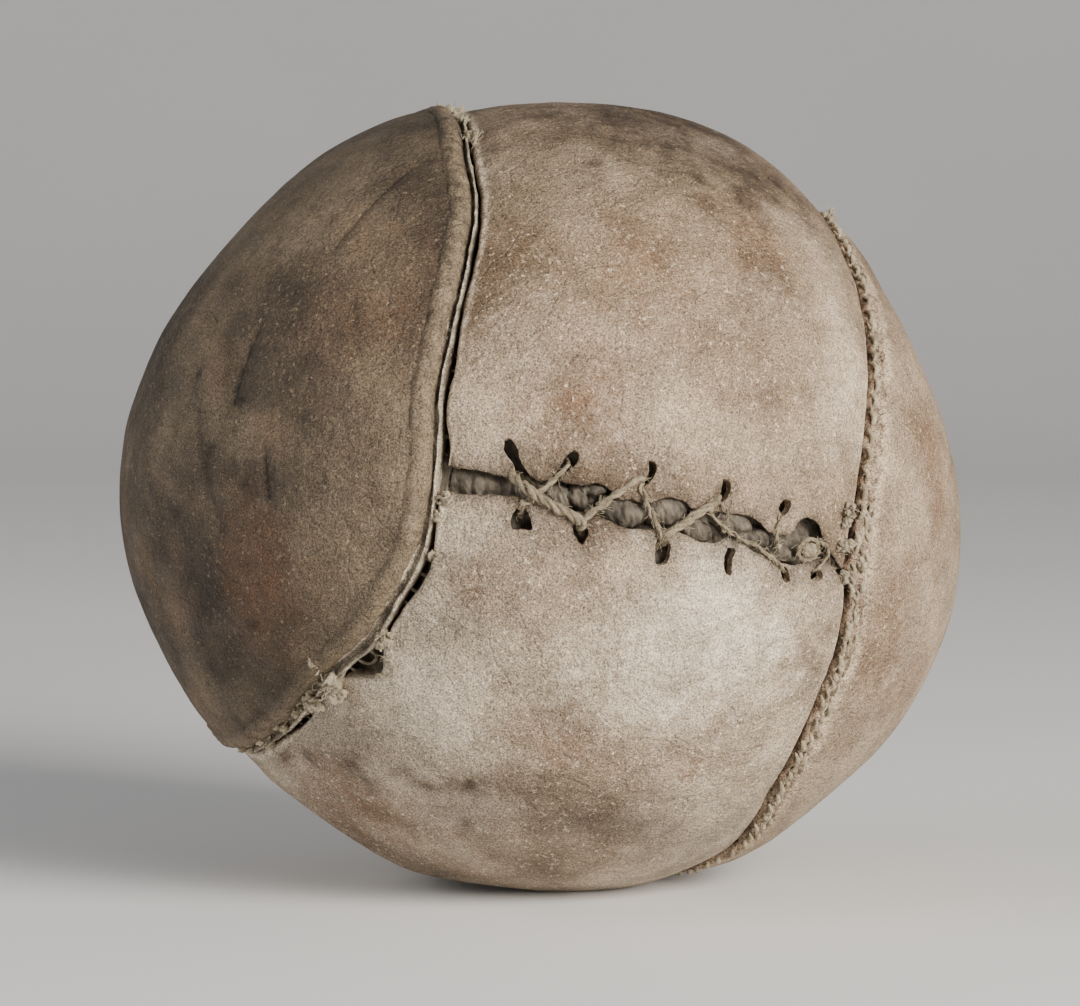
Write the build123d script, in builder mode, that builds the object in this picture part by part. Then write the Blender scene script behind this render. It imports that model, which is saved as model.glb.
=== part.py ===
"""A laced leather ball: two round end panels and a three-piece band sewn over an inflated bladder.

Millimetres, +Z up. The origin is on the ground, under the ball's middle, where its underside is
pressed flat. The round end panels face -X and +X, with the +X end the lower one, and the laced
slit faces -Y. Every panel edge that is sewn turns inwards, so the seams stand inside the ball.
"""

import os
from math import atan2, cos, degrees, pi, radians, sin, sqrt

from build123d import *

os.makedirs("parts", exist_ok=True)

# ---- Driving dimensions ---------------------------------------------------------------------

ball_length = 157.0  # from end panel to end panel
ball_girth = 149.4  # diameter square to that
axis_tilt = 15.0  # degrees that the line through the ends leans down towards +X
pressed_flat = 2.0  # how much the ball's own weight takes off its underside

leather = 2.0
edge_depth = 5.5  # how far a turned-in edge reaches below the ball's surface
seam_gap = 0.3  # between two layers that are sewn together
corner_clip = 1.0  # cut off the corners of the rear seams' turned-in edges

left_seam_tilt, left_seam_angle = 18.3, 55.6  # tilt of the seam's axis, and its half-angle
right_seam_tilt, right_seam_angle = 11.8, 56.8
left_welt_width, right_welt_width = 1.8, 1.2  # thickness of the strip between the panels
welt_joint = 0.4  # where the two ends of a strip meet, at the back

top_seam_at, bottom_seam_at = 120.0, 240.0  # degrees around the ball from the slit, over the top

thread = 0.8
thread_lift = 0.02  # between the thread along a seam's face and the stitches through it
awl = 0.9  # side of the square holes that the thread goes through
stitch_pitch = 3.0
# the first hole of each ring seam, as a share of the pitch: it keeps holes off the panels' corners
left_first_hole, right_first_hole = 0.33, 0.65
stitch_depth = 4.0  # of the stitches below the ball's surface
rear_stitch_span = 54.0  # degrees of each rear seam that carry stitches

slit_skew = 6.0  # degrees between the slit and the line through the ends
slit_gap = 1.2
slit_mouth = 4.4  # the slit's width at its open left end
slit_mouth_length = 13.0

lace = 1.6  # thickness of the lacing cord
lace_bend = 0.95  # radius of its middle line where it turns
lace_knot, lace_knot_height = 4.4, 3.5  # width and height of the lump where its two passes meet
eyelet_width, eyelet_length = 2.6, 4.6  # punched holes, longer across the slit than along it
# (distance along the slit, distance above it) of each hole, from the left
upper_eyelets = ((-31.5, 8.0), (-21.0, 8.0), (-6.5, 8.5), (8.0, 6.5), (20.5, 5.0), (27.0, 3.5))
lower_eyelets = ((-27.5, -3.5), (-16.5, -4.0), (-1.0, -5.5), (12.5, -6.5), (24.0, -7.0), (31.0, -6.0))
knot_at = (27.5, -1.5)

bladder_wall = 0.5
bladder_clearance = 0.3
stitch_room = 0.4  # the bladder stays this much further from a turned-in edge, clear of its stitches
hollow_length, hollow_floor = 70.0, 58.5  # dent in the bladder behind the lacing
hollow_top, hollow_bottom = 11.5, -10.0
neck_radius, neck_waist, neck_tail = 3.0, 1.9, 2.8
neck_root, neck_tie_at, neck_end = 6.0, -14.0, -20.0  # places along the slit
neck_tie_turns, neck_tie_pitch = 3, 0.6
neck_tie_reach = 1.5  # how far the waist under the tie goes to each side of it

# ---- The ball's frame -----------------------------------------------------------------------

long_radius, girth_radius = ball_length / 2, ball_girth / 2
reach_down = sqrt(
    (long_radius * sin(radians(axis_tilt))) ** 2 + (girth_radius * cos(radians(axis_tilt))) ** 2
)
centre = Vector(0, 0, reach_down - pressed_flat)
long_axis = Vector(cos(radians(axis_tilt)), 0, -sin(radians(axis_tilt)))
front = Vector(0, -1, 0)
top = Vector(sin(radians(axis_tilt)), 0, cos(radians(axis_tilt)))
lengthwise = Plane(origin=centre, x_dir=long_axis, z_dir=front)
beyond = long_radius + 20  # a radius that is clear of the whole ball


def around(angle):
    """The direction square to the long axis, this many degrees over the top from the front."""
    return front * cos(radians(angle)) + top * sin(radians(angle))


def surface_radius(direction):
    """From the ball's centre to its surface."""
    share = direction.dot(long_axis)
    return 1 / sqrt((share / long_radius) ** 2 + (1 - share**2) / girth_radius**2)


def solid_ball(inset=0.0):
    """The whole ball, this much smaller all over, with its flat underside."""
    with BuildPart() as ball:
        with BuildSketch(lengthwise):
            Ellipse(long_radius - inset, girth_radius - inset)
            split(bisect_by=Plane.XZ)
        revolve(axis=Axis(centre, long_axis))
        split(bisect_by=Plane.XY.offset(inset))
    return ball.part


def hollow_ball(outside, inside):
    """A closed shell between two depths below the ball's surface."""
    with BuildPart() as ball:
        add(solid_ball(outside))
        add(solid_ball(inside), mode=Mode.SUBTRACT)
    return ball.part


skin = hollow_ball(0, leather)
mid_leather = leather / 2  # turned-in edges are joined on here, inside the leather

# ---- Ring seams, around the two end panels --------------------------------------------------


class RingSeam:
    """A round seam: its axis points out through the end panel, and its layers fan from the centre.

    Distances across the seam are along the ball's surface: 0 is the middle of the welt, minus is
    towards the end panel and plus is towards the band.
    """

    def __init__(self, side, tilt, half_angle, welt, first_hole):
        self.axis = Vector(side * cos(radians(tilt)), 0, -side * sin(radians(tilt)))
        self.half_angle = half_angle
        self.welt = welt
        self.fold = welt / 2 + seam_gap
        self.back = self.fold + leather
        self.section = Plane(origin=centre, x_dir=self.axis, z_dir=(0, -side, 0))
        self.turning = Axis(centre, self.axis)
        angle, stitch_radius = radians(half_angle), girth_radius - stitch_depth
        self.stitch_plane = Plane(centre + self.axis * (stitch_radius * cos(angle)), front, self.axis)
        self.stitch_ring = stitch_radius * sin(angle)
        self.stack = 2 * self.back * stitch_radius / girth_radius
        self.count = round(2 * pi * self.stitch_ring / stitch_pitch)
        self.first_stitch = first_hole * 360 / self.count

    def profile(self, across, radii):
        """A four-sided section between two distances across the seam and two radii."""
        angles = [radians(self.half_angle + degrees(distance / girth_radius)) for distance in across]
        corners = [
            (radius * cos(angle), radius * sin(angle))
            for angle, order in zip(angles, (radii, radii[::-1]))
            for radius in order
        ]
        with BuildSketch(self.section) as section:
            with BuildLine():
                Polyline(*corners, close=True)
            make_face()
        return section.sketch

    def layer(self, across, outside=mid_leather, inside=edge_depth):
        """A ring between two distances across the seam and two depths below the surface."""
        with BuildPart() as ring:
            add(hollow_ball(outside, inside))
            revolve(
                self.profile(across, (girth_radius / 2, beyond)), axis=self.turning, mode=Mode.INTERSECT
            )
        return ring.part

    def cap(self, across):
        """A cone that takes in everything on the end panel's side of a distance."""
        angle = radians(self.half_angle + degrees(across / girth_radius))
        with BuildPart() as cone:
            with BuildSketch(self.section):
                with BuildLine():
                    Polyline((0, 0), (beyond, 0), (beyond * cos(angle), beyond * sin(angle)), close=True)
                make_face()
            revolve(axis=self.turning)
        return cone.part

    def needle_holes(self):
        """The diamond holes that an awl makes, through all the layers."""
        with BuildPart(self.stitch_plane) as holes:
            with PolarLocations(self.stitch_ring, self.count, self.first_stitch):
                Box(awl, awl, 2 * (self.back + thread), rotation=(0, self.half_angle - 90, 45))
        return holes.part

    def stitching(self):
        """The thread: a stitch through every hole, and a line of it along both faces of the seam."""
        low = girth_radius - stitch_depth - thread / 2
        with BuildPart(self.stitch_plane) as stitches:
            with PolarLocations(self.stitch_ring, self.count, self.first_stitch):
                Cylinder(thread / 2, self.stack, rotation=(0, self.half_angle - 90, 0))
            for face in (self.back + thread_lift, -self.back - thread_lift - thread):
                revolve(self.profile((face, face + thread), (low, low + thread)), axis=self.turning)
        return stitches.part


left_seam = RingSeam(-1, left_seam_tilt, left_seam_angle, left_welt_width, left_first_hole)
right_seam = RingSeam(1, right_seam_tilt, right_seam_angle, right_welt_width, right_first_hole)


def end_panel(seam):
    """A round panel whose edge turns in behind the welt."""
    with BuildPart() as panel:
        add(skin)
        add(seam.layer((-seam.back, 0)))
        add(seam.cap(-seam.fold), mode=Mode.INTERSECT)
        add(seam.needle_holes(), mode=Mode.SUBTRACT)
    return panel.part


def welt(seam):
    """A strip of leather on edge between the panels, with its two ends meeting at the back."""
    with BuildPart() as strip:
        add(seam.layer((-seam.welt / 2, seam.welt / 2), outside=0))
        add(seam.needle_holes(), mode=Mode.SUBTRACT)
        with Locations(Plane(centre - front * girth_radius, seam.axis, front)):
            Box(ball_length, welt_joint, girth_radius, mode=Mode.SUBTRACT)
    return strip.part


with BuildPart() as left_end_panel:
    add(end_panel(left_seam))

with BuildPart() as right_end_panel:
    add(end_panel(right_seam))

with BuildPart() as left_welt:
    add(welt(left_seam))

with BuildPart() as right_welt:
    add(welt(right_seam))

with BuildPart() as left_seam_thread:
    add(left_seam.stitching())

with BuildPart() as right_seam_thread:
    add(right_seam.stitching())

# ---- The band: one hoop of leather, before it is cut into three panels ------------------------

with BuildPart() as hoop:
    add(skin)
    for ring_seam in (left_seam, right_seam):
        add(ring_seam.layer((0, ring_seam.back)))
        add(ring_seam.cap(ring_seam.fold), mode=Mode.SUBTRACT)

with BuildPart() as hoop_rim:
    # where the rear seams' turned-in edges may stand: their corners are clipped beside the ring seams
    add(hollow_ball(mid_leather, edge_depth))
    for ring_seam in (left_seam, right_seam):
        add(ring_seam.cap(ring_seam.back + corner_clip), mode=Mode.SUBTRACT)

# ---- Rear seams, straight across the band ----------------------------------------------------


class RearSeam:
    """A straight seam in a plane through the long axis: minus is its side nearer the slit's top."""

    def __init__(self, angle):
        self.plane = Plane(origin=centre, x_dir=long_axis, z_dir=around(angle + 90))
        self.fold = seam_gap / 2
        self.back = self.fold + leather
        self.stitch_radius = girth_radius - stitch_depth
        count = round(self.stitch_radius * radians(rear_stitch_span) / stitch_pitch)
        self.stitch_row = (self.stitch_radius, count, -90 - rear_stitch_span / 2, rear_stitch_span)

    def layer(self, low, high):
        """A slab of the hoop's turned-in depth, between two distances from the seam's plane."""
        with BuildPart() as slab:
            add(hoop_rim.part)
            split(bisect_by=self.plane.offset(low))
            split(bisect_by=self.plane.offset(high), keep=Keep.BOTTOM)
        return slab.part

    def needle_holes(self):
        """The diamond holes that an awl makes, through both layers."""
        with BuildPart(self.plane) as holes:
            with PolarLocations(*self.stitch_row, endpoint=True):
                Box(awl, awl, 2 * (self.back + thread), rotation=(0, 0, 45))
        return holes.part

    def groove(self, reach, depth):
        """The room that the seam takes, inside the ball's surface and between the ring seams."""
        with BuildPart() as room:
            add(hollow_ball(0, depth))
            split(bisect_by=self.plane.offset(-reach))
            split(bisect_by=self.plane.offset(reach), keep=Keep.BOTTOM)
            split(bisect_by=Plane(origin=centre, z_dir=-self.plane.y_dir))
            for ring_seam in (left_seam, right_seam):
                add(ring_seam.cap(0), mode=Mode.SUBTRACT)
        return room.part

    def stitching(self):
        """The thread: a stitch through every hole, and a line of it along both faces of the seam."""
        with BuildPart(self.plane) as stitches:
            with PolarLocations(*self.stitch_row, endpoint=True):
                Cylinder(thread / 2, 2 * self.back)
            for face in (self.back + thread_lift, -self.back - thread_lift - thread):
                with BuildSketch(self.plane.offset(face)):
                    with BuildLine():
                        row = CenterArc(
                            (0, 0), self.stitch_radius, -90 - rear_stitch_span / 2, rear_stitch_span
                        )
                    SlotArc(row, thread)
                extrude(amount=thread)
        return stitches.part


top_seam = RearSeam(top_seam_at)
bottom_seam = RearSeam(bottom_seam_at)

with BuildPart() as top_seam_thread:
    add(top_seam.stitching())

with BuildPart() as bottom_seam_thread:
    add(bottom_seam.stitching())

# ---- The slit and its eyelets ------------------------------------------------------------------

along_slit = long_axis * cos(radians(slit_skew)) + top * sin(radians(slit_skew))
above_slit = top * cos(radians(slit_skew)) - long_axis * sin(radians(slit_skew))
slit_plane = Plane(origin=centre, x_dir=along_slit, z_dir=above_slit)
slit_front = Plane(origin=centre, x_dir=along_slit, z_dir=front)


def by_slit(along, above):
    """The direction of a point, from distances over the surface along and above the slit."""
    sideways, upwards = along / girth_radius, above / girth_radius
    level = front * cos(sideways) + along_slit * sin(sideways)
    return level * cos(upwards) + above_slit * sin(upwards)


def at_slit(along, above, height):
    """A point this high above the leather's surface."""
    direction = by_slit(along, above)
    return centre + direction * (surface_radius(direction) + height)


with BuildPart() as slit_opening:
    with BuildSketch(slit_front):
        left_end = -long_radius / 2
        with BuildLine():
            Polyline(
                (left_end - slit_mouth_length / 2, slit_mouth / 2),
                (left_end + slit_mouth_length / 2, slit_mouth / 2),
                (left_end + slit_mouth_length, slit_gap / 2),
                (long_radius, slit_gap / 2),
                (long_radius, -slit_gap / 2),
                (left_end + slit_mouth_length, -slit_gap / 2),
                (left_end - slit_mouth_length / 2, -slit_mouth / 2),
                close=True,
            )
        make_face()
    extrude(amount=beyond)
    for ring_seam in (left_seam, right_seam):
        add(ring_seam.cap(ring_seam.back), mode=Mode.SUBTRACT)

with BuildPart() as eyelets:
    for along, above in upper_eyelets + lower_eyelets:
        with BuildSketch(Plane(at_slit(along, above, -edge_depth), along_slit, by_slit(along, above))):
            SlotOverall(eyelet_length, eyelet_width, rotation=90)
        extrude(amount=2 * edge_depth)

# ---- The band's three panels --------------------------------------------------------------------


def ring_needle_holes(low, high):
    """The ring seams' holes between two angles around the ball, as separate solids."""
    margin = 5  # more than the slit strays from running straight along the ball
    holes = left_seam.needle_holes().solids() + right_seam.needle_holes().solids()
    for hole in holes:
        outward = hole.center() - centre
        angle = degrees(atan2(outward.dot(top), outward.dot(front)))
        if low - margin < angle < high + margin or low - margin < angle + 360 < high + margin:
            yield hole


with BuildPart() as upper_body_panel:
    add(hoop.part)
    add(top_seam.layer(-top_seam.back, 0))
    split(bisect_by=top_seam.plane.offset(-top_seam.fold), keep=Keep.BOTTOM)
    split(bisect_by=slit_plane)
    add(top_seam.needle_holes(), mode=Mode.SUBTRACT)
    add(slit_opening.part, mode=Mode.SUBTRACT)
    add(eyelets.part, mode=Mode.SUBTRACT)
    for hole in ring_needle_holes(0, top_seam_at):
        add(hole, mode=Mode.SUBTRACT)

with BuildPart() as rear_body_panel:
    add(hoop.part)
    add(top_seam.layer(0, top_seam.back))
    add(bottom_seam.layer(-bottom_seam.back, 0))
    split(bisect_by=top_seam.plane.offset(top_seam.fold))
    split(bisect_by=bottom_seam.plane.offset(-bottom_seam.fold), keep=Keep.BOTTOM)
    add(top_seam.needle_holes(), mode=Mode.SUBTRACT)
    add(bottom_seam.needle_holes(), mode=Mode.SUBTRACT)
    for hole in ring_needle_holes(top_seam_at, bottom_seam_at):
        add(hole, mode=Mode.SUBTRACT)

with BuildPart() as lower_body_panel:
    add(hoop.part)
    add(bottom_seam.layer(0, bottom_seam.back))
    split(bisect_by=bottom_seam.plane.offset(bottom_seam.fold))
    split(bisect_by=slit_plane, keep=Keep.BOTTOM)
    add(bottom_seam.needle_holes(), mode=Mode.SUBTRACT)
    add(slit_opening.part, mode=Mode.SUBTRACT)
    add(eyelets.part, mode=Mode.SUBTRACT)
    for hole in ring_needle_holes(bottom_seam_at, 360):
        add(hole, mode=Mode.SUBTRACT)

# ---- The lacing: there along the slit, round a knot, and back -------------------------------------

over = lace / 2 + 0.6  # heights of the cord's middle above the leather's surface
over_crossing = over + lace + 0.4
over_knot = over + 0.6
under = -leather - lace / 2 - 0.3
under_return = under - lace - 0.4
side_step, end_step = 0.4, 1.1  # how the two passes share an eyelet

U1, U2, U3, U4, U5, U6 = upper_eyelets
L1, L2, L3, L4, L5, L6 = lower_eyelets


def shared(eyelet, sideways, near):
    """One of the two places in an eyelet: near the slit or far from it."""
    along, above = eyelet
    towards_slit = -end_step if above > 0 else end_step
    return along + sideways * side_step, above + (towards_slit if near else -towards_slit)


there = [
    ((U1[0] + 7.5, U1[1] - 4.0), under),
    (U1, under),
    (U1, over),
    ((-24.3, 2.5), over_crossing),
    (shared(L2, -1, True), over),
    (shared(L2, -1, True), under),
    (shared(U3, 1, True), under),
    (shared(U3, 1, True), over),
    (shared(L3, -1, True), over),
    (shared(L3, -1, True), under),
    (shared(U4, 1, True), under),
    (shared(U4, 1, True), over),
    (L5, over),
    (L5, under),
    (U5, under),
    (U5, over),
    (knot_at, over_knot),
]
back = [
    (L6, over),
    (L6, under_return),
    (shared(U4, -1, False), under_return),
    (shared(U4, -1, False), over),
    (shared(L3, 1, False), over),
    (shared(L3, 1, False), under_return),
    (shared(U3, -1, False), under_return),
    (shared(U3, -1, False), over),
    (shared(L2, 1, False), over),
    (shared(L2, 1, False), under_return),
    (U2, under_return),
    (U2, over),
    (L1, over),
    (L1, under_return),
    ((L1[0] - 4.5, L1[1] + 5.0), under_return),
]
lace_route = [at_slit(*place, height) for place, height in there + back]

with BuildPart() as cord:
    with BuildLine():
        lace_path = FilletPolyline(*lace_route, radius=lace_bend)
    with BuildSketch(Plane(origin=lace_path @ 0, z_dir=lace_path % 0)):
        Circle(lace / 2)
    sweep()
print(f"lace: {lace_path.length:.1f} mm long, swept {cord.part.volume:.1f} mm3,")
print(f"      section times length {pi * (lace / 2) ** 2 * lace_path.length:.1f} mm3")

with BuildPart(Plane(at_slit(*knot_at, over_knot), along_slit, by_slit(*knot_at))) as knot:
    Cylinder(lace_knot / 2, lace_knot_height)
    chamfer(knot.edges().filter_by(GeomType.CIRCLE), lace_knot / 5)

with BuildPart() as lacing_cord:
    add(cord.part)
    add(knot.part)

# ---- The bladder: a thin skin that follows the leather, the seams and the lacing ------------------


def bladder_form(clearance):
    """The room inside the leather, this much clear of everything."""
    depth = edge_depth + stitch_room + clearance
    with BuildPart() as room:
        add(solid_ball(leather + clearance))
        for ring_seam in (left_seam, right_seam):
            reach = ring_seam.back + thread + clearance
            add(ring_seam.layer((-reach, reach), outside=0, inside=depth), mode=Mode.SUBTRACT)
        for rear_seam in (top_seam, bottom_seam):
            reach = rear_seam.back + thread + clearance
            add(rear_seam.groove(reach, depth), mode=Mode.SUBTRACT)
        with BuildSketch(slit_front.offset(hollow_floor - clearance)):
            with Locations((0, (hollow_top + hollow_bottom) / 2)):
                Rectangle(hollow_length + 2 * clearance, hollow_top - hollow_bottom + 2 * clearance)
        extrude(amount=beyond, mode=Mode.SUBTRACT)
    return room.part


neck_line = hollow_floor + bladder_clearance + neck_radius
neck_plane = Plane(origin=slit_front.offset(neck_line).origin, x_dir=along_slit, z_dir=above_slit)

with BuildPart() as bladder:
    add(bladder_form(bladder_clearance))
    with BuildSketch(neck_plane):
        with BuildLine():
            Polyline(
                (neck_root, 0),
                (neck_root, neck_radius),
                (neck_tie_at + 2 * neck_tie_reach, neck_radius),
                (neck_tie_at + neck_tie_reach, neck_waist),
                (neck_tie_at - neck_tie_reach, neck_waist),
                (neck_end, neck_tail),
                (neck_end, 0),
                close=True,
            )
        make_face()
    revolve(axis=Axis(neck_plane.origin, along_slit))
    with BuildSketch(slit_front.offset(hollow_floor - leather)):
        with Locations((neck_root, 0)):
            Circle(neck_radius)
    extrude(amount=leather + bladder_clearance + neck_radius)
    with Locations(neck_plane.origin + along_slit * neck_root):
        Sphere(neck_radius)
    add(bladder_form(bladder_clearance + bladder_wall), mode=Mode.SUBTRACT)
    with BuildSketch(slit_front.offset(hollow_floor - 2 * leather)):
        with Locations((neck_root, 0)):
            Circle(neck_radius - bladder_wall)
    extrude(amount=2 * leather + bladder_clearance + neck_radius, mode=Mode.SUBTRACT)
    with Locations(neck_plane.origin + along_slit * neck_root):
        Sphere(neck_radius - bladder_wall, mode=Mode.SUBTRACT)

tie_plane = Plane(origin=neck_plane.origin + along_slit * neck_tie_at, z_dir=along_slit)
tie_radius = neck_waist + thread / 2 + 0.1

with BuildPart(tie_plane) as bladder_tie:
    for turn in range(neck_tie_turns):
        height = (turn - (neck_tie_turns - 1) / 2) * neck_tie_pitch
        with Locations((0, 0, height)):
            Torus(tie_radius, thread / 2)

# ---- Files ------------------------------------------------------------------------------------------

sub_parts = {
    "left_end_panel": left_end_panel,
    "right_end_panel": right_end_panel,
    "upper_body_panel": upper_body_panel,
    "lower_body_panel": lower_body_panel,
    "rear_body_panel": rear_body_panel,
    "left_welt": left_welt,
    "right_welt": right_welt,
    "left_seam_thread": left_seam_thread,
    "right_seam_thread": right_seam_thread,
    "top_seam_thread": top_seam_thread,
    "bottom_seam_thread": bottom_seam_thread,
    "lacing_cord": lacing_cord,
    "bladder": bladder,
    "bladder_tie": bladder_tie,
}
for name, sub_part in sub_parts.items():
    sub_part.part.label = name
    export_step(sub_part.part, f"parts/{name}.step")
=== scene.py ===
"""The looks of an old laced leather ball, built over its CAD frame.

Shapes are worked out in millimetres, as directions from the ball's centre and heights above its
leather, and are written to Blender in metres. The laced slit faces -Y and the end panels -X and +X.
"""

import bpy
import numpy as np
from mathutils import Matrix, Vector


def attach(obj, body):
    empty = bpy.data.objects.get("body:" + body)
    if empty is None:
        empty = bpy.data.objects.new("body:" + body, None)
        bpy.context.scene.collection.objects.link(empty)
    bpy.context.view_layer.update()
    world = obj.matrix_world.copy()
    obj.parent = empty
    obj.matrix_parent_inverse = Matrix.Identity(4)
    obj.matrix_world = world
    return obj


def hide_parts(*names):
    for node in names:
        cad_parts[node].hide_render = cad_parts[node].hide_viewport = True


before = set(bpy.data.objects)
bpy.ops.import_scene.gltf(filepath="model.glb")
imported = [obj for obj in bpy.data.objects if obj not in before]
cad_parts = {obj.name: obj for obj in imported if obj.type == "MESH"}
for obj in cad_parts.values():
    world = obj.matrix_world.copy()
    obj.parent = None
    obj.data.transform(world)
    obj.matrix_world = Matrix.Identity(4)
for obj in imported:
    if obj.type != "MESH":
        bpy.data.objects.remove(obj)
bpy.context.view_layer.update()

# ---- Sizes, in millimetres and degrees -----------------------------------------------------------

long_radius, girth_radius = 78.5, 74.7
axis_tilt = 15.0
slit_skew = 6.0
pressed_flat = 2.0

leather = 1.7
edge_depth = 5.4
lip = 1.0  # radius of a turned-in edge
pillow, seam_sink, pillow_reach = 0.2, 1.6, 8.0  # panels stand up in their middles, sink at seams

left_welt, right_welt = 1.9, 3.3
left_end_gap, right_end_gap = 1.0, 0.3  # grooves between the strips and the end panels
fold_gap = 0.4  # groove between a strip and the band
strip_spread, strip_spread_at, strip_spread_reach = 0.6, -40.0, 24.0  # of the left strip's half-width

stitch_depth, thread_radius = 4.0, 0.36
left_back, right_back, rear_back = 2.9, 3.1, 2.6  # from a seam's middle to the thread's outer runs
left_stitches, right_stitches = 122, 126
rear_stitches, rear_stitch_span = 23, 27.0  # span in degrees to each side of the seam's middle

slit_half_length = 42

view_azimuth, view_elevation, view_distance = -18.1, 4.0, 1000.0
view_aim = (-0.8, 0.0, -0.85)
lens = 176.4


def unit(v):
    return v / np.linalg.norm(v, axis=-1, keepdims=True)


def turned(degrees, a, b):
    """The direction this many degrees from a towards b."""
    angle = np.radians(degrees)
    return a * np.cos(angle) + b * np.sin(angle)


across, back_to_front, upright = np.eye(3)
front = -back_to_front
long_axis = turned(-axis_tilt, across, upright)
top = turned(axis_tilt, upright, across)
reach_down = np.hypot(long_radius * long_axis[2], girth_radius * top[2])
centre = np.array([0, 0, reach_down - pressed_flat])

along_slit = turned(slit_skew, long_axis, top)
above_slit = turned(slit_skew, top, -long_axis)

# ---- Camera --------------------------------------------------------------------------------------

azimuth, elevation = np.radians((view_azimuth, view_elevation))
towards_camera = np.array(
    [np.sin(azimuth) * np.cos(elevation), -np.cos(azimuth) * np.cos(elevation), np.sin(elevation)]
)
camera_right = unit(np.cross(-towards_camera, upright))
camera_up = np.cross(camera_right, -towards_camera)
aim = centre + camera_right * view_aim[0] + camera_up * view_aim[2]

camera = bpy.data.objects.new("camera", bpy.data.cameras.new("camera"))
bpy.context.scene.collection.objects.link(camera)
camera.data.lens = lens
camera.data.dof.use_dof = False
camera.location = Vector((aim + towards_camera * view_distance) / 1000)
camera.rotation_euler = Vector(-towards_camera).to_track_quat("-Z", "Y").to_euler()
bpy.context.scene.camera = camera

# ---- Noise ---------------------------------------------------------------------------------------


def lattice(x, y, z, seed):
    """A random number from -1 to 1 for every whole-number place."""
    n = x * 374761393 + y * 668265263 + z * 1440662683 + seed * 974711
    n = (n ^ (n >> 13)) * 1274126177
    return ((n ^ (n >> 16)) & 0xFFFF) / 32767.5 - 1


def noise(points, size, seed=0, octaves=1):
    """Smooth noise from about -1 to 1 at points (..., 3), with features this many millimetres across."""
    total, weight = 0.0, 1.0
    for octave in range(octaves):
        p = np.asarray(points, float) / size * 2**octave + 1000
        cell = np.floor(p).astype(np.int64)
        t = p - cell
        t = t * t * (3 - 2 * t)
        value = 0.0
        for corner in range(8):
            step = np.array([corner & 1, corner >> 1 & 1, corner >> 2 & 1])
            share = np.prod(np.where(step, t, 1 - t), axis=-1)
            x, y, z = np.moveaxis(cell + step, -1, 0)
            value = value + share * lattice(x, y, z, seed + octave)
        total = total + weight * value
        weight *= 0.5
    return total


def bump(distance, reach):
    return np.exp(-((distance / reach) ** 2))


# ---- Seams ---------------------------------------------------------------------------------------


class RingSeam:
    """A seam round an end panel. Its places are (angle round it, millimetres towards the band)."""

    def __init__(self, side, tilt, half_angle, wander):
        self.axis = turned(tilt, side * across, -side * upright)
        self.over = unit(upright - self.axis * self.axis[2])
        self.half_angle = half_angle
        angles = np.arange(-180, 180, 1.0)
        knots = sorted(wander)
        line = np.interp(angles, [k[0] for k in knots], [k[1] for k in knots], period=360)
        kernel = bump(np.arange(-8, 9), 3.5)
        line = np.convolve(np.tile(line, 3), kernel / kernel.sum(), "same")[360:720]
        self.angles, self.line = angles, line

    def wander(self, around):
        return np.interp(around, self.angles, self.line, period=360)

    def place(self, d):
        around = np.degrees(np.arctan2(d @ self.over, d @ front))
        off_axis = np.degrees(np.arccos(np.clip(d @ self.axis, -1, 1)))
        off_seam = np.radians(off_axis - self.half_angle - self.wander(around)) * girth_radius
        return around, off_seam

    def direction(self, around, off_seam):
        angle = np.radians(self.half_angle + self.wander(around)) + off_seam / girth_radius
        side = front * np.cos(np.radians(around))[..., None]
        side = side + self.over * np.sin(np.radians(around))[..., None]
        return self.axis * np.cos(angle)[..., None] + side * np.sin(angle)[..., None]


left_seam = RingSeam(
    -1,
    18.3,
    55.6,
    (
        (94, 2.4), (63, -1.4), (47, -0.9), (32, -2.1), (22, -2.7), (8, -2.4), (0, -0.3), (-8, 1.2),
        (-17, 2.6), (-27, 1.8), (-33, 1.8), (-46, -1.2), (-88, -0.8),
    ),
)
right_seam = RingSeam(
    1,
    11.8,
    56.8,
    (
        (90, 0.5), (48, -0.2), (27, 1.5), (14, 2.2), (5, 2.2), (-6, 0.2), (-15, -0.9), (-40, 0.0),
        (-65, -1.2), (-74, 1.5),
    ),
)


class RearSeam:
    """A seam along the ball's back, in a plane through its long axis."""

    def __init__(self, around):
        self.side = turned(around, front, top)
        self.normal = turned(around + 90, front, top)

    def place(self, d):
        """(Whether it is on the seam's half of the ball, millimetres past the seam.)"""
        return d @ self.side > 0, d @ self.normal * girth_radius


top_seam, bottom_seam = RearSeam(120), RearSeam(240)


def strip_half(seam, around):
    """Half the width of the strip in a ring seam; the left one spreads where its stitches have gone."""
    if seam is left_seam:
        return left_welt / 2 + strip_spread * bump(around - strip_spread_at, strip_spread_reach)
    return right_welt / 2 + 0 * around


def end_fold(seam, around):
    """From a seam's middle to the end panel's fold: open on the left, nearly closed on the right."""
    return strip_half(seam, around) + (left_end_gap if seam is left_seam else right_end_gap)


# ---- The slit: its edges and eyelets, as (millimetres along it, millimetres above it) ------------

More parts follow.
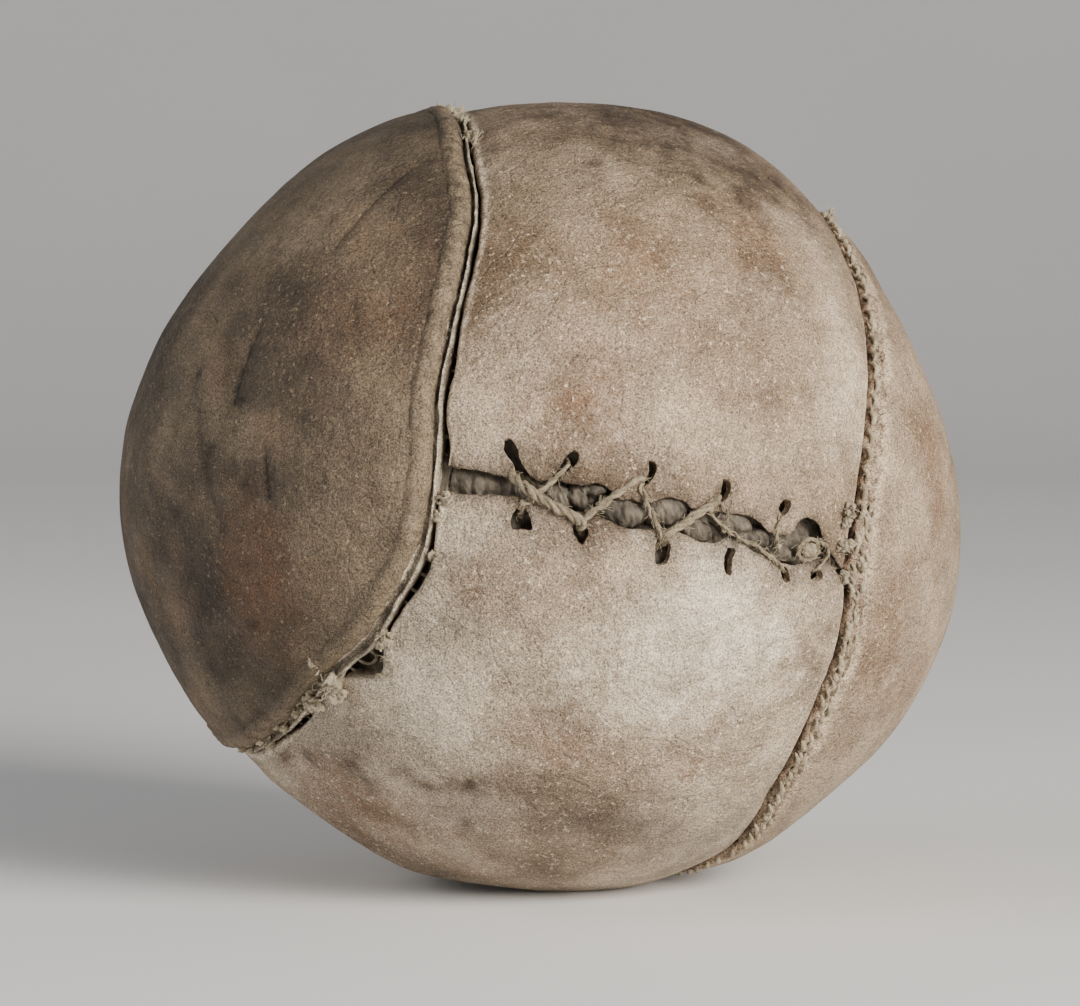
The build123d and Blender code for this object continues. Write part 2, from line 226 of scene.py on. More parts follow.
upper_edge = (
    (-60, 4.6), (-40, 4.5), (-35, 4.5), (-31.5, 4.0), (-28.4, 3.7), (-27.2, 5.2), (-25.6, 4.2),
    (-21.5, 4.9), (-18, 4.6), (-15.2, 5.7), (-13.4, 4.9), (-11, 3.3), (-8, 3.4), (-6, 2.9),
    (-1.8, 5.0), (0.8, 4.7), (3, 3.3), (6.5, 3.6), (12.6, 3.8), (15.6, 3.4), (19.0, 1.2),
    (21.4, 0.8), (24.4, 1.6), (25.2, 3.9), (27.5, 4.9), (30.4, 4.1), (31.6, 1.6), (34, -0.7),
    (38, -3.5), (60, -6),
)  # fmt: skip
lower_edge = (
    (-60, 0.0), (-40.8, 0.0), (-34.5, 0.5), (-29.5, 1.1), (-24.4, 1.1), (-20.2, -0.2), (-14, -0.1),
    (-11.6, -1.0), (-9, -1.8), (-4.4, -1.2), (-1.5, -0.9), (2.9, -1.3), (5.1, -2.2), (8.4, -2.0),
    (10.5, -0.6), (14, -1.2), (16.4, -2.8), (18.5, -2.8), (21.4, -4.2), (25.9, -4.0), (28.5, -3.2),
    (32.2, -2.2), (34.9, -2.8), (38, -5.0), (60, -8),
)  # fmt: skip
eyelets = {
    "upper": (
        (
            (-32.8, 10.6), (-31.6, 11.0), (-30.2, 9.4), (-29.2, 7.2), (-26.8, 4.6), (-26.4, 3.2),
            (-28.8, 3.2), (-30.6, 6.6), (-32.6, 8.8),
        ),
        (
            (-20.3, 10.6), (-19.2, 10.2), (-19.3, 8.6), (-20.9, 6.7), (-23.2, 3.8), (-24.4, 3.8),
            (-22.4, 7.0), (-21.6, 9.2),
        ),
        ((-6.5, 10.7), (-5.1, 10.4), (-5.0, 8.5), (-6.2, 6.6), (-7.2, 6.1), (-6.2, 8.2)),
        ((8.0, 9.6), (9.5, 9.2), (9.9, 7.5), (9.0, 5.6), (7.4, 5.1), (8.0, 7.5)),
        ((21.2, 7.4), (22.7, 7.3), (23.0, 6.0), (22.0, 4.6), (20.8, 4.2), (20.3, 5.8)),
    ),
    "lower": (
        (
            (-28.8, -1.0), (-27.2, -0.9), (-26.0, -2.6), (-25.6, -4.4), (-27.4, -4.6),
            (-29.1, -4.8), (-29.5, -2.9),
        ),
        ((-18.4, -2.5), (-16.7, -2.1), (-15.5, -3.1), (-15.6, -4.7), (-16.5, -5.6), (-18.0, -4.0)),
        ((-2.8, -2.7), (-0.5, -2.9), (0.0, -4.7), (-0.6, -6.9), (-2.4, -7.2), (-2.9, -4.5)),
        ((11.0, -2.6), (12.7, -2.6), (12.4, -4.7), (12.4, -7.3), (11.1, -6.8), (10.6, -4.2)),
        ((23.2, -4.6), (24.6, -4.8), (25.5, -6.8), (24.3, -7.3), (23.2, -5.6)),
        ((30.1, -4.6), (32.5, -4.3), (33.3, -5.4), (32.6, -6.3), (30.3, -6.2)),
    ),
}


def smooth_line(knots, seed):
    """A line through knots as a function, with its corners rounded and its edge a little ragged."""
    places = np.arange(knots[0][0], knots[-1][0] + 0.1, 0.1)
    values = np.interp(places, [k[0] for k in knots], [k[1] for k in knots])
    kernel = bump(np.arange(-15, 16) * 0.1, 0.5)
    padded = np.pad(values, 15, mode="edge")
    values = np.convolve(padded, kernel / kernel.sum(), "valid")
    spots = np.stack([places, 0 * places, 0 * places], -1)
    values = values + 0.16 * noise(spots, 1.7, seed, 2)
    return lambda x: np.interp(x, places, values)


upper_line, lower_line = smooth_line(upper_edge, 1), smooth_line(lower_edge, 0)


def slit_direction(along, above):
    sideways, upwards = np.asarray(along) / girth_radius, np.asarray(above) / girth_radius
    level = front * np.cos(sideways)[..., None] + along_slit * np.sin(sideways)[..., None]
    return level * np.cos(upwards)[..., None] + above_slit * np.sin(upwards)[..., None]


def slit_place(d):
    along = np.arctan2(d @ along_slit, d @ front) * girth_radius
    return along, np.arcsin(np.clip(d @ above_slit, -1, 1)) * girth_radius


# ---- The ball's surface --------------------------------------------------------------------------

# broad dents and swellings round the rim seen from the front: (angle from its right, height, reach)
swellings = (
    (2, -1.8, 18), (22, -4.0, 20), (65, 1.5, 20), (92, -1.8, 9), (140, -3.4, 24), (165, -1.0, 16),
    (204, -2.2, 18), (233, -6.5, 13), (261, -2.6, 9), (312, -1.2, 16),
)  # fmt: skip
# narrow creases: (end points along and above the slit, depth, width)
creases = (
    ((-77, 40), (-75, 62), 0.5, 1.3),
    ((-85, 23), (-85.6, 9), 0.55, 1.1),
    ((-76, 3), (-73.5, -6), 0.5, 0.8),
    ((-97, 12), (-85, -11), 0.35, 1.6),
    ((-67, 30), (-60, 18), 0.25, 1.0),
    ((-32, -47), (-15, -52.5), 0.3, 0.7),
    ((-15, -52.5), (6, -55.5), 0.3, 0.7),
    ((6, -55.5), (31, -51), 0.3, 0.7),
    ((-44, -19), (-13, -43), 0.22, 0.7),
    ((-41, -12), (-23, -36), 0.18, 0.6),
    ((-7.2, -11.2), (-6.4, -14.4), 0.4, 0.5),
    ((27, 63), (37, 58), 0.2, 0.5),
    ((-28, 26), (-10, 31), 0.14, 0.5),
    ((10, -16), (22, -34), 0.16, 0.6),
)


def line_distance(along, above, start, end):
    """From places near the slit to a straight line between two of them, in millimetres."""
    run = np.subtract(end, start)
    place = np.stack([along - start[0], above - start[1]], -1)
    share = np.clip(place @ run / (run @ run), 0, 1)
    return np.hypot(*np.moveaxis(place - share[..., None] * run, -1, 0))


def seam_distance(d):
    """The distance to the nearest seam of any kind, in millimetres."""
    near = np.minimum(abs(left_seam.place(d)[1]), abs(right_seam.place(d)[1]))
    in_band = (left_seam.place(d)[1] > 0) & (right_seam.place(d)[1] > 0)
    for seam in (top_seam, bottom_seam):
        on_half, past = seam.place(d)
        near = np.where(on_half & in_band, np.minimum(near, abs(past)), near)
    return near


def relief(d):
    """How far the leather stands above a plain ellipsoid."""
    near = seam_distance(d)
    height = pillow - (pillow + seam_sink) * np.exp(-near / pillow_reach)
    spot = d * girth_radius
    height = height + 0.7 * noise(spot, 38, 1) + 0.28 * noise(spot, 15, 5) + 0.09 * noise(spot, 5, 9, 2)
    height = height + 0.16 * noise(spot, 3.0, 12) * np.exp(-near / 4)
    for angle, lift, reach in swellings:
        middle = turned(angle, camera_right, camera_up)
        height = height + lift * bump(np.linalg.norm(d - middle, axis=-1) * girth_radius, reach)
    # the left end panel's edge is rolled up into a bead
    around, off = left_seam.place(d)
    rolled = 0.85 + 0.4 * noise(spot, 2.2, 15)
    height = height + rolled * bump(off + end_fold(left_seam, around) + 0.55, 0.6)
    along, above = slit_place(d)
    facing = d @ front > 0.3
    for start, end, depth, width in creases:
        reach = line_distance(along, above, start, end)
        height = height - np.where(facing, depth * bump(reach, width), 0)
    for places in (*eyelets["upper"], *eyelets["lower"]):
        at, up = np.mean(places, axis=0)
        height = height - np.where(facing, 0.75 * bump(np.hypot(along - at, above - up), 3.0), 0)
    in_slit = facing & (abs(along) < slit_half_length)
    slit_reach = np.minimum(abs(above - upper_line(along)), abs(above - lower_line(along)))
    height = height - np.where(in_slit, 1.1 * np.exp(-slit_reach / 3), 0)
    return height


def radius(d):
    share = d @ long_axis
    return 1 / np.sqrt(share**2 / long_radius**2 + (1 - share**2) / girth_radius**2) + relief(d)


def on_leather(d, height=0.0):
    """Points this far above the leather, kept above the flat that the ball rests on."""
    points = centre + d * (radius(d) + height)[..., None]
    points[..., 2] = np.maximum(points[..., 2], np.clip(-np.asarray(height), 0, 9))
    return points


def slit_points(places):
    """Points from (along, above, height) rows."""
    along, above, height = np.asarray(places, float).T
    return on_leather(slit_direction(along, above), height)


# ---- Meshes --------------------------------------------------------------------------------------


def grid_faces(rows, columns, wrap=False):
    """Four-sided faces between neighbouring rows of points."""
    across_count = columns if wrap else columns - 1
    row, column = np.meshgrid(np.arange(rows - 1), np.arange(across_count), indexing="ij")
    corner = row * columns + column
    right = row * columns + (column + 1) % columns
    return np.stack([corner, right, right + columns, corner + columns], -1).reshape(-1, 4)


def mesh_object(name, points, faces, material=None):
    """A mesh object in the scene, smooth when it has a material. Points are in millimetres."""
    mesh = bpy.data.meshes.new(name)
    places = np.asarray(points).reshape(-1, 3) / 1000
    mesh.from_pydata(places.tolist(), [], [list(face) for face in faces])
    if material:
        mesh.polygons.foreach_set("use_smooth", np.ones(len(mesh.polygons), bool))
        mesh.materials.append(material)
    piece = bpy.data.objects.new(name, mesh)
    bpy.context.scene.collection.objects.link(piece)
    return piece


def build(name, points, faces, material, node, slot, **fields):
    """A piece that stands for a CAD node. Fields are values at its points, for its material."""
    piece = mesh_object("aged_" + name, points, faces, material)
    for field, values in fields.items():
        data = piece.data.attributes.new(field, "FLOAT", "POINT")
        data.data.foreach_set("value", np.asarray(values, np.float32).ravel())
    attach(piece, "root")
    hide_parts(node)
    return piece


def thicken(piece, thickness):
    solid = piece.modifiers.new("thickness", "SOLIDIFY")
    solid.thickness = thickness / 1000
    solid.offset = -1
    solid.use_even_offset = False


local = np.random.default_rng(11)


def along_path(path):
    """Directions along a path, away from the ball's middle, and sideways."""
    run = unit(np.gradient(path, axis=0) + 1e-9)
    lift = unit(path - centre)
    lift = unit(lift - run * np.sum(lift * run, -1, keepdims=True) + 1e-6)
    return run, lift, np.cross(run, lift)


class Bunch:
    """Points and faces gathered from many tubes and lumps into one mesh."""

    def __init__(self):
        self.points, self.faces, self.tints, self.count = [], [], [], 0

    def add(self, points, faces, tint=0.0):
        points = np.asarray(points).reshape(-1, 3)
        self.points.append(points)
        self.faces += (np.asarray(faces) + self.count).tolist()
        self.tints.append(np.full(len(points), tint))
        self.count += len(points)

    def tube(self, path, radii, sides=8, tint=0.0):
        """A round tube along a path, closed at its ends by narrowing."""
        path = np.asarray(path, float)
        run, lift, side = along_path(path)
        radii = np.broadcast_to(radii, len(path)).copy()
        radii[[0, -1]] = 0.02
        angle = np.linspace(0, 2 * np.pi, sides, endpoint=False)
        ring = lift[:, None] * np.cos(angle)[None, :, None] + side[:, None] * np.sin(angle)[None, :, None]
        points = path[:, None] + ring * radii[:, None, None]
        self.add(points, grid_faces(len(path), sides, wrap=True), tint)

    def cord(self, path, thickness, plies, turn, ragged, fuzz, seed):
        """A twisted cord along a path: its plies wind round each other and shed short fibres."""
        step = 0.35
        path = resample(path, step)
        run, lift, side = along_path(path)
        length = np.arange(len(path)) * step
        ply_radius = thickness * (0.27 if plies > 2 else 0.29)
        for ply in range(plies):
            angle = 2 * np.pi * (length / turn + ply / plies) + 0.6 * noise(path, 3, seed + ply)
            out = thickness / 2 - ply_radius + ragged * noise(path, 1.6, seed + 20 + ply)
            strand = path + (lift * np.cos(angle)[:, None] + side * np.sin(angle)[:, None]) * out[:, None]
            swell = ply_radius * (1 + 0.28 * noise(path, 1.1, seed + 40 + ply))
            self.tube(strand, swell, 7, tint=0.4 * (ply % 2))
        for _ in range(int(fuzz * len(path) * step * 1.3)):
            spot = int(local.integers(1, len(path) - 1))
            angle = local.uniform(0, 2 * np.pi)
            out = lift[spot] * np.cos(angle) + side[spot] * np.sin(angle)
            start = path[spot] + out * thickness * 0.42
            self.fibre(start, out * 0.5 + run[spot], local.uniform(0.8, 2.2))

    def fibre(self, start, heading, length, width=0.05, tint=0.9):
        """One loose hair that curls as it goes."""
        steps = 7
        path, heading = [np.array(start)], unit(np.asarray(heading, float))
        for _ in range(steps):
            heading = unit(heading + local.normal(0, 0.35, 3))
            path.append(path[-1] + heading * length / steps)
        self.tube(path, width, 4, tint)

    def lump(self, middle, size, tint=0.0, rough=0.3, seed=0, detail=14):
        """A crumb or clot: a blob whose surface is pushed about by noise."""
        turn, fall = np.meshgrid(
            np.linspace(0, 2 * np.pi, detail * 2, endpoint=False), np.linspace(0.02, np.pi - 0.02, detail)
        )
        ball = np.stack([np.sin(fall) * np.cos(turn), np.sin(fall) * np.sin(turn), np.cos(fall)], -1)
        swell = 1 + rough * noise(ball * 2 + seed * 7.1, 1.1, seed, 3)
        self.add(
            middle + ball * np.asarray(size) / 2 * swell[..., None],
            grid_faces(detail, detail * 2, wrap=True)[:, ::-1],
            tint,
        )


def resample(path, step):
    """The same path through smooth curves, with points this far apart."""
    path = np.asarray(path, float)
    fine = []
    ends = np.vstack([2 * path[0] - path[1], path, 2 * path[-1] - path[-2]])
    for a, b, c, d in zip(ends, ends[1:], ends[2:], ends[3:]):
        t = np.linspace(0, 1, 12, endpoint=False)[:, None]
        square, cube = 2 * a - 5 * b + 4 * c - d, 3 * b - a - 3 * c + d
        fine.append(0.5 * (2 * b + (c - a) * t + square * t**2 + cube * t**3))
    fine = np.vstack(fine + [path[-1:]])
    length = np.concatenate([[0], np.cumsum(np.linalg.norm(np.diff(fine, axis=0), axis=1))])
    at = np.linspace(0, length[-1], max(4, int(length[-1] / step)))
    return np.stack([np.interp(at, length, fine[:, k]) for k in range(3)], -1)

# ---- Materials -----------------------------------------------------------------------------------


class Shader:
    """A node material, built by naming each node and what goes into it."""

    def __init__(self, name):
        self.material = bpy.data.materials.new(name)
        self.material.use_nodes = True
        self.tree = self.material.node_tree
        self.surface = self.tree.nodes["Principled BSDF"]
        self.place = self.tree.nodes.new("ShaderNodeTexCoord").outputs["Object"]

    def node(self, kind, inputs=(), **settings):
        made = self.tree.nodes.new("ShaderNode" + kind)
        for setting, value in settings.items():
            setattr(made, setting, value)
        for socket, value in dict(inputs).items():
            self.set(made.inputs[socket], value)
        return made

    def set(self, socket, value):
        if isinstance(value, bpy.types.NodeSocket):
            self.tree.links.new(value, socket)
        else:
            socket.default_value = value

    def noise(self, size, detail=3.0, roughness=0.55, distortion=0.0, place=None):
        """Noise from 0 to 1 with features this many millimetres across."""
        inputs = {"Vector": place or self.place, "Scale": 1000 / size, "Detail": detail}
        inputs.update({"Roughness": roughness, "Distortion": distortion})
        return self.node("TexNoise", inputs).outputs["Fac"]

    def field(self, name):
        return self.node("Attribute", attribute_name=name).outputs["Fac"]

    def ramp(self, value, *stops):
        """Colours (or greys) along a value, from (place, colour) stops."""
        made = self.node("ValToRGB", {"Fac": value})
        for number, (at, colour) in enumerate(stops):
            elements = made.color_ramp.elements
            element = elements[number] if number < 2 else elements.new(at)
            element.position = at
            element.color = (*colour, 1) if isinstance(colour, tuple) else (colour,) * 3 + (1,)
        return made.outputs["Color"]

    def mix(self, share, a, b, blend="MIX"):
        made = self.node("Mix", data_type="RGBA", blend_type=blend)
        self.set(made.inputs["Factor"], share)
        self.set(made.inputs[6], (*a, 1) if isinstance(a, tuple) else a)
        self.set(made.inputs[7], (*b, 1) if isinstance(b, tuple) else b)
        return made.outputs[2]

    def maths(self, operation, a, b=0.0):
        made = self.node("Math", operation=operation)
        self.set(made.inputs[0], a)
        self.set(made.inputs[1], b)
        return made.outputs[0]

    def bumps(self, *layers):
        """Stacks (height, millimetres) layers of bump."""
        normal = None
        for height, distance in layers:
            inputs = {"Height": height, "Distance": distance / 1000, "Strength": 1.0}
            if normal:
                inputs["Normal"] = normal
            normal = self.node("Bump", inputs).outputs["Normal"]
        self.set(self.surface.inputs["Normal"], normal)


stain_colour = (0.19, 0.085, 0.04)


def leather_material(name, dark, middle, light, speckle):
    """Old leather: blotchy, stained, finely cracked and speckled, darkened by its field of soil and painted
    shade, lightened by its field of wear and painted highlight, and stained by its stained field.
    """
    s = Shader(name)
    blotch = s.noise(34, 4, 0.6)
    colour = s.ramp(blotch, (0.34, dark), (0.68, light), (0.5, middle))
    patches = s.noise(9, 5, 0.65, 0.4)
    colour = s.mix(0.75, colour, s.ramp(patches, (0.3, 0.62), (0.7, 1.25)), "MULTIPLY")
    warm = s.ramp(s.noise(17, 3), (0.55, 0.0), (0.78, 0.35))
    stain_spots = s.ramp(s.noise(3, 5, 0.75), (0.3, 0.25), (0.62, 1.0))
    stained = s.maths("MULTIPLY", s.field("stained"), stain_spots)
    colour = s.mix(s.maths("MAXIMUM", warm, stained), colour, stain_colour)
    fleck = s.ramp(s.noise(0.9, 3, 0.7), (0.58, 0.0), (0.7, 0.75))
    colour = s.mix(fleck, colour, tuple(min(1, 1.6 * c) for c in light))
    drift = s.node("TexNoise", {"Vector": s.place, "Scale": 90.0}).outputs["Color"]
    bent = s.mix(0.012, s.place, drift, "ADD")
    cells = s.node("TexVoronoi", {"Vector": bent, "Scale": 1000 / 13}, feature="DISTANCE_TO_EDGE")
    crack = s.ramp(cells.outputs["Distance"], (0.0, 0.0), (0.03, 1.0))
    patchy = s.ramp(s.noise(14, 3), (0.52, 0.0), (0.66, 0.35))
    colour = s.mix(patchy, colour, s.mix(crack, tuple(0.5 * c for c in dark), colour))
    # soil, and the painted shade put into the same field, darken the leather
    soil_and_shade = s.maths("MULTIPLY", s.field("soil_and_shade"), s.ramp(s.noise(4, 4, 0.7), (0.3, 0.55), (0.6, 1.0)))
    colour = s.mix(soil_and_shade, colour, tuple(0.3 * c for c in dark))
    # wear, and the painted highlight put into the same field, lighten the leather
    wear_and_highlight = s.maths("MULTIPLY", s.field("wear_and_highlight"), s.ramp(s.noise(2.2, 4, 0.7), (0.35, 0.2), (0.62, 1.0)))
    colour = s.mix(wear_and_highlight, colour, tuple(min(1, 1.25 * c) for c in light))
    grain = s.noise(0.32, 3, 0.7)
    colour = s.mix(speckle, colour, s.ramp(grain, (0.38, 0.25), (0.6, 1.6)), "MULTIPLY")
    s.set(s.surface.inputs["Base Color"], colour)
    s.surface.inputs["Specular IOR Level"].default_value = 0.3
    s.set(s.surface.inputs["Roughness"], s.ramp(s.noise(6, 4), (0.3, 0.52), (0.7, 0.82)))
    pebbles = s.node("TexVoronoi", {"Vector": s.place, "Scale": 1000 / 0.8}, feature="SMOOTH_F1")
    s.bumps(
        (s.noise(7, 5, 0.6), 1.1),
        (s.noise(1.8, 4, 0.65), 0.5),
        (crack, 0.12),
        (pebbles.outputs["Distance"], 0.2),
        (grain, 0.2),
    )
    return s.material


def fibre_material(name, dark, light):
    """Dry plant fibre: streaky, with a different shade for each ply."""
    s = Shader(name)
    streak = s.noise(0.7, 5, 0.75, 1.5)
    colour = s.ramp(streak, (0.32, dark), (0.66, light))
    tint = s.maths("ADD", s.field("tint"), s.maths("MULTIPLY", s.noise(5, 3), 0.4))
    colour = s.mix(s.maths("MULTIPLY", tint, 0.55), colour, tuple(min(1, 1.3 * c) for c in light))
    grime = s.ramp(s.noise(2.4, 4, 0.7), (0.5, 0.0), (0.7, 0.6))
    colour = s.mix(grime, colour, tuple(0.45 * c for c in dark))
    s.set(s.surface.inputs["Base Color"], colour)
    s.surface.inputs["Roughness"].default_value = 0.85
    s.surface.inputs["Specular IOR Level"].default_value = 0.15
    s.bumps((streak, 0.35), (s.noise(0.45, 4, 0.75), 0.3))
    return s.material


def skin_material(name, dark, light):
    """An old bladder: dull, dusty and finely wrinkled."""
    s = Shader(name)
    stretch = s.node("Mapping", {"Vector": s.place, "Scale": (1, 1, 0.3)}).outputs["Vector"]
    wrinkles = s.noise(1.3, 5, 0.6, 1.0, place=stretch)
    colour = s.ramp(s.noise(3.5, 4, 0.6), (0.32, dark), (0.7, light))
    colour = s.mix(0.6, colour, s.ramp(wrinkles, (0.35, 0.5), (0.6, 1.25)), "MULTIPLY")
    s.set(s.surface.inputs["Base Color"], colour)
    s.set(s.surface.inputs["Roughness"], s.ramp(wrinkles, (0.3, 0.5), (0.7, 0.75)))
    s.surface.inputs["Specular IOR Level"].default_value = 0.3
    s.bumps((wrinkles, 0.5), (s.noise(0.6, 3), 0.1))
    return s.material


# (name, dark shade, middle shade, light shade, strength of the speckle)
hides = {
    row[0]: leather_material(*row)
    for row in (
        # the left end panel's leather is a darker brown, and is made darker still as painted shade
        ("left_leather_with_painted_shade", (0.036, 0.026, 0.018), (0.09, 0.064, 0.04), (0.19, 0.142, 0.09), 0.8),
        ("upper_leather", (0.15, 0.098, 0.058), (0.31, 0.225, 0.145), (0.50, 0.40, 0.29), 0.8),
        ("lower_leather", (0.18, 0.122, 0.076), (0.36, 0.275, 0.19), (0.58, 0.49, 0.375), 0.8),
        ("right_leather", (0.17, 0.108, 0.062), (0.30, 0.215, 0.14), (0.46, 0.36, 0.25), 0.8),
        ("rear_leather", (0.16, 0.115, 0.08), (0.31, 0.24, 0.17), (0.46, 0.38, 0.29), 0.8),
        ("left_strip", (0.05, 0.037, 0.026), (0.17, 0.13, 0.088), (0.50, 0.42, 0.31), 0.95),
        ("right_strip", (0.05, 0.027, 0.017), (0.13, 0.072, 0.043), (0.38, 0.28, 0.19), 0.95),
    )
}
lacing_fibre = fibre_material("lacing_fibre", (0.13, 0.095, 0.055), (0.46, 0.38, 0.26))
thread_fibre = fibre_material("thread_fibre", (0.20, 0.15, 0.09), (0.62, 0.53, 0.38))
bladder_skin = skin_material("bladder_skin", (0.045, 0.036, 0.027), (0.20, 0.165, 0.122))

# ---- Marks, shared by all the leather ------------------------------------------------------------

# dark scuffs: (along the slit, above it, reach along, reach above, strength)
scuffs = (
    (-85, 14, 7, 8, 0.55), (-74, -2, 8, 7, 0.5), (-95, -20, 10, 14, 0.45), (-60, -52, 12, 8, 0.5),
    (10, -62, 34, 7, 0.55), (-30, -60, 16, 7, 0.4), (20, 40, 7, 5, 0.2), (44, 90, 34, 20, 0.7),
    (-6, 92, 40, 16, 0.6), (-37, -22, 9, 12, 0.45), (-80, -40, 16, 14, 0.45), (-66, 4, 7, 22, 0.25),
    (60, 0, 12, 40, 0.2),
)
# reddish stains: (along the slit, above it, reach along, reach above, strength)
stains = (
    (-21, 19, 7, 6, 0.6), (-11, 47, 13, 14, 0.5), (25, 60, 14, 9, 0.45), (44, 88, 22, 16, 0.5),
    (18.6, -46, 2.4, 2.4, 0.8), (-13, -44, 12, 8, 0.45), (-69, -67, 20, 12, 0.6),
    (-33, -16, 6, 5, 0.35), (62, 16, 6, 12, 0.7), (54, -10, 5, 12, 0.4), (70, -22, 5, 8, 0.7),
    (-76, -19, 8, 12, 0.6), (-62, 28, 10, 12, 0.3),
)
# paler places, rubbed bare: the same
bare = (
    (-34, 24, 8, 9, 0.45), (39, 38, 6, 14, 0.8), (13, -12, 9, 7, 0.8), (21, -22, 12, 12, 0.6),
    (-2, -31, 14, 9, 0.6), (-42, -7, 6, 3, 0.4), (4, 16, 22, 6, 0.5), (-62, 2, 5, 18, 0.35),
)


def patches(along, above, places, ragged):
    """The summed strength of ragged-edged patches, on the ball's front."""
    total = 0.0
    for at, height, wide, tall, strength in places:
        away = np.hypot((along - at) / wide, (above - height) / tall)
        total = total + strength * bump(away * ragged, 1)
    return total


def marks(d):
    """How soiled and darkened with painted shade, how worn and lightened with painted highlight, and how
    stained the leather is at each direction.
    """
    near = seam_distance(d)
    spot = d * girth_radius
    ragged = 1 + 0.5 * noise(spot, 4, 31, 2)
    soil_and_shade = 0.75 * np.exp(-near / (2.2 * ragged.clip(0.3)))
    along, above = slit_place(d)
    facing = d @ front > 0
    soil_and_shade = soil_and_shade + np.where(facing, patches(along, above, scuffs, ragged), 0)
    for start, end, depth, width in creases:
        reach = line_distance(along, above, start, end)
        soil_and_shade = soil_and_shade + np.where(facing, 1.2 * depth * bump(reach, width * 0.7), 0)
    # painted shade round the dented eyelets
    for places in (*eyelets["upper"], *eyelets["lower"]):
        at, up = np.mean(places, axis=0)
        soil_and_shade = soil_and_shade + np.where(facing, 0.75 * bump(np.hypot(along - at, above - up) * ragged, 3.0), 0)
    # the leather by the slit's edges is darker: partly staining, partly painted shade
    slit_reach = np.minimum(abs(above - upper_line(along)), abs(above - lower_line(along)))
    in_slit = facing & (abs(along) < slit_half_length)
    soil_and_shade = soil_and_shade + np.where(in_slit, 0.75 * np.exp(-slit_reach / (1.8 * ragged.clip(0.3))), 0)
    # darker towards the bottom; the top is darkened as painted shade
    soil_and_shade = soil_and_shade + 0.35 * np.clip(-d[..., 2] - 0.55, 0, 1)
    soil_and_shade = soil_and_shade + 1.3 * np.clip(d[..., 2] - 0.6, 0, 1)
    # a lighter band along the panels' turned-in edges is a painted highlight; the noise on top is random
    # wear
    wear_and_highlight = 0.95 * bump(near - 2.4, 0.6) + 0.3 * np.clip(noise(spot, 12, 51, 2), 0, 1)
    wear_and_highlight = wear_and_highlight + np.where(facing, patches(along, above, bare, ragged), 0)
    unseen = 0.5 * np.clip(noise(spot, 24, 55, 3) - 0.1, 0, 1)
    stained = np.where(facing, patches(along, above, stains, ragged), unseen)
    return {"soil_and_shade": soil_and_shade.clip(0, 1), "wear_and_highlight": wear_and_highlight.clip(0, 1), "stained": stained.clip(0, 1)}


# ---- End panels ----------------------------------------------------------------------------------


def lip_rows():
    """(Distance short of the fold, depth) down a turned-in edge, from the leather's face."""
    angles = np.radians(np.arange(15, 91, 15))
    curve = [(lip * (1 - np.sin(a)), lip * (1 - np.cos(a))) for a in angles]
    return curve + [(0, depth) for depth in np.linspace(lip, edge_depth, 5)[1:]]


def edge_wobble(seam, around, seed):
    spot = seam.direction(around, np.zeros_like(around)) * girth_radius
    return 0.35 * noise(spot, 7, seed) + 0.14 * noise(spot, 1.7, seed + 1)


at_pole = 0.1  # how much soil and painted shade, wear and painted highlight, and stain an end panel has at its very middle


def end_panel(name, seam, material, slot, seed):
    around = np.linspace(-180, 180, 480, endpoint=False)
    fold = edge_wobble(seam, around, seed) - end_fold(seam, around)
    reach = np.radians(seam.half_angle + seam.wander(around)) + (fold - lip) / girth_radius
    rows = [share * reach for share in np.linspace(0.004, 1, 74) ** 0.93]
    side = front * np.cos(np.radians(around))[:, None] + seam.over * np.sin(np.radians(around))[:, None]
    directions = [seam.axis * np.cos(r)[:, None] + side * np.sin(r)[:, None] for r in rows]
    depths = [0.0] * len(directions)
    for short, depth in lip_rows():
        directions.append(seam.direction(around, fold - short))
        depths.append(depth)
    d = np.array(directions)
    points = on_leather(d, -np.array(depths)[:, None] * np.ones(len(around)))
    pole = on_leather(seam.axis[None])
    faces = grid_faces(len(d), len(around), wrap=True).tolist()
    count = d.shape[0] * d.shape[1]
    faces += [[count, (k + 1) % len(around), k] for k in range(len(around))]
    if seam.axis[0] > 0:
        faces = [face[::-1] for face in faces]
    points = np.vstack([points.reshape(-1, 3), pole])
    fields = {key: np.append(values, at_pole) for key, values in marks(d).items()}
    thicken(build(name, points, faces, material, name, slot, **fields), leather)


end_panel("left_end_panel", left_seam, hides["left_leather_with_painted_shade"], "end_leather", 61)
end_panel("right_end_panel", right_seam, hides["right_leather"], "band_leather", 67)

# ---- Band panels ---------------------------------------------------------------------------------

# where the stitching has let go: (angle round the seam, reach, how far the band's edge has drawn back)
gapes = {
    "left": ((-39, 4.0, 4.0), (0, 5.0, 1.4), (14, 8, 0.8), (-20, 8, 1.0), (-60, 6, 0.7)),
    "right": ((-66, 8, 1.2), (-45, 3, 0.9), (2, 4, 0.7)),
}


def band_edge(seam, which, around):
    """Where the band's fold stands, in millimetres off the seam's middle."""
    fold = strip_half(seam, around) + fold_gap + edge_wobble(seam, around, 71 if which == "left" else 79)
    for at, reach, width in gapes[which]:
        fold = fold + width * bump(around - at, reach)
    return fold


def band_direction(around, lean):
    """From an angle over the top from the front, and one along the ball towards the right."""
    level = front * np.cos(around)[..., None] + top * np.sin(around)[..., None]
    return long_axis * np.sin(lean)[..., None] + level * np.cos(lean)[..., None]


